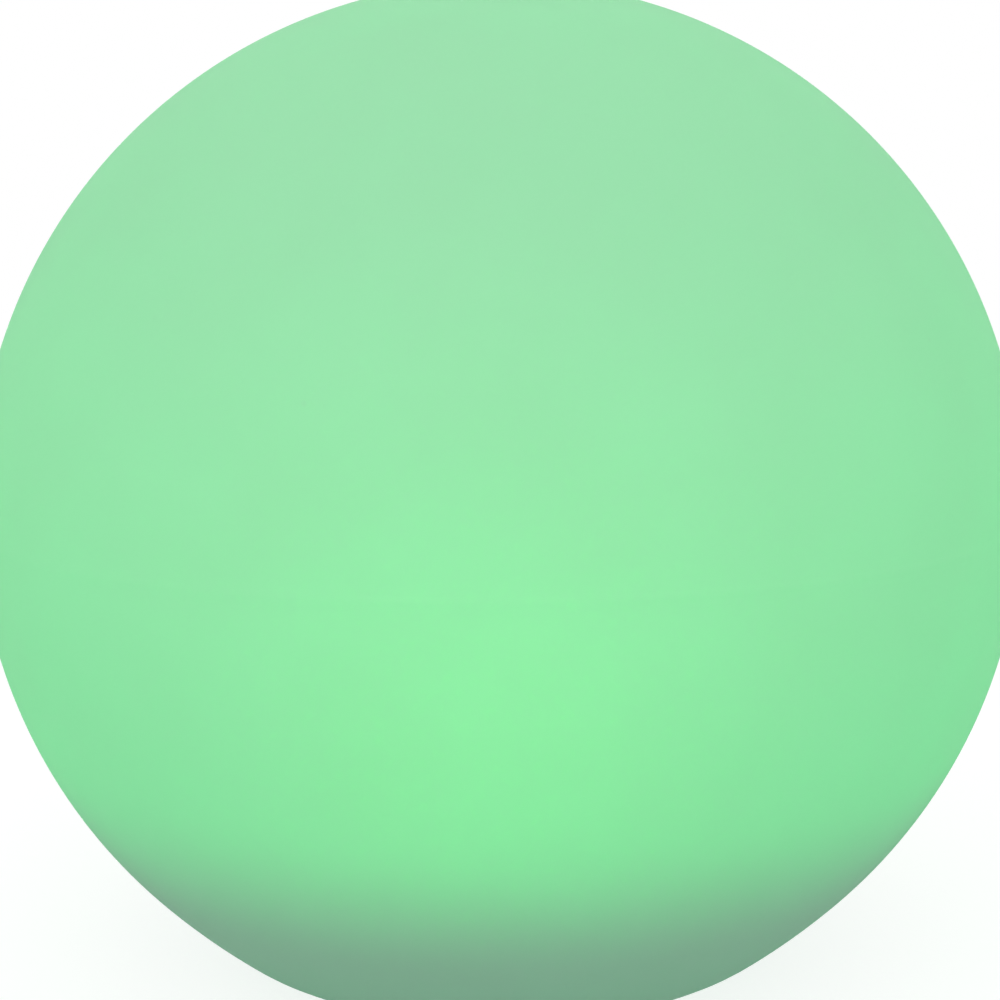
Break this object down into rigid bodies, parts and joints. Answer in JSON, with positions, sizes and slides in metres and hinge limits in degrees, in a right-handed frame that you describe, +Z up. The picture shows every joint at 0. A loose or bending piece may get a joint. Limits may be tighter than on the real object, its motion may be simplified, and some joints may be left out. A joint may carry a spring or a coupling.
{
  "type": "garden globe light",
  "caption": "Glowing translucent ball on a flat ring foot, with a sealed rechargeable light module that screws up into the mouth in its underside.",
  "frame": {"origin": "on the ground, under the middle of the ball", "axes": "+Z up through the middle of the ball; the button and the charging port face -Y from the middle of the underside"},
  "size_m": [0.3001, 0.3002, 0.2837],
  "materials": {
    "globe_polyethylene": "satin translucent polyethylene, rotomoulded, lit green from within",
    "white_abs": "fine moulded texture",
    "grey_abs": "moulded",
    "black_rubber": "matte",
    "grey_silicone": "satin",
    "stainless_steel": "satin",
    "black_moulding": "moulded",
    "clear_polycarbonate": "polished",
    "frosted_polycarbonate": "frosted",
    "green_circuit_board": "solder mask",
    "white_circuit_board": "white solder mask on aluminium",
    "lamp_package": "moulded lamp bodies",
    "cell_sleeve": "shrink sleeve over a steel can",
    "nickel_strip": "rolled strip",
    "black_nylon": "woven strap",
    "ivory_nylon": "moulded",
    "ferrite": "sintered",
    "capacitor_can": "sleeved can",
    "red_insulation": "extruded",
    "black_insulation": "extruded",
    "grey_insulation": "extruded",
    "spreader_aluminium": "brushed"
  },
  "bodies": {
    "globe": {"globe_shell": "globe_polyethylene", "foot_ring": "black_rubber", "mounting_ring": "grey_abs", "ring_gasket": "black_rubber", "ring_screws": "stainless_steel"},
    "flange_seal": {"flange_seal": "grey_silicone"},
    "light_module": {"module_housing": "white_abs", "base_cover": "white_abs", "dome_clamp_ring": "white_abs", "battery_cradle": "grey_abs", "cover_seal": "grey_silicone", "port_gasket": "grey_silicone", "dome_seal": "grey_silicone", "thermal_pad": "grey_silicone", "cover_screws": "stainless_steel", "port_hinge_pin": "stainless_steel", "charge_socket": "stainless_steel", "interface_screws": "stainless_steel", "cradle_screws": "stainless_steel", "board_screws": "stainless_steel", "spreader_screws": "stainless_steel", "led_board_screws": "stainless_steel", "clamp_screws": "stainless_steel", "tact_switch": "black_moulding", "socket_tongue": "black_moulding", "control_chip": "black_moulding", "board_chips": "black_moulding", "indicator_lens": "clear_polycarbonate", "lens_dome": "frosted_polycarbonate", "interface_board": "green_circuit_board", "control_board": "green_circuit_board", "led_board": "white_circuit_board", "indicator_led": "lamp_package", "led_packages": "lamp_package", "battery_cells": "cell_sleeve", "cell_tabs": "nickel_strip", "battery_straps": "black_nylon", "wire_headers": "ivory_nylon", "wire_plugs": "ivory_nylon", "power_inductor": "ferrite", "smoothing_capacitors": "capacitor_can", "battery_lead_red": "red_insulation", "battery_lead_black": "black_insulation", "interface_wires": "grey_insulation", "led_wires": "grey_insulation", "heat_spreader": "spreader_aluminium"},
    "power_button": {"power_button": "white_abs", "button_ring": "grey_silicone", "button_clip": "stainless_steel", "switch_plunger": "black_moulding"},
    "port_cover": {"port_cover": "white_abs", "port_plug": "black_rubber"}
  },
  "joints": [
    {"name": "module_drop", "type": "slide", "parent": "globe", "child": "flange_seal", "axis": [0, 0, -1], "range_m": [0, 0.00501]},
    {"name": "module_turn", "type": "hinge", "parent": "flange_seal", "child": "light_module", "pos_m": [0, 0, 0.0125], "axis": [0, 0, -1], "range_deg": [0, 90]},
    {"name": "power_press", "type": "slide", "parent": "light_module", "child": "power_button", "axis": [0, 0, 1], "range_m": [0, 0.0005], "stiffness_N_per_m": 3000, "springref_m": -0.0003},
    {"name": "port_cover_swing", "type": "hinge", "parent": "light_module", "child": "port_cover", "pos_m": [-0.01075, -0.03749, 0.0066], "axis": [-0.9613, 0.2756, 0], "range_deg": [0, 110]}
  ],
  "couplings": [
    {"joint": "module_drop", "follows": "module_turn", "m_per_rad": 0.0031831}
  ]
}
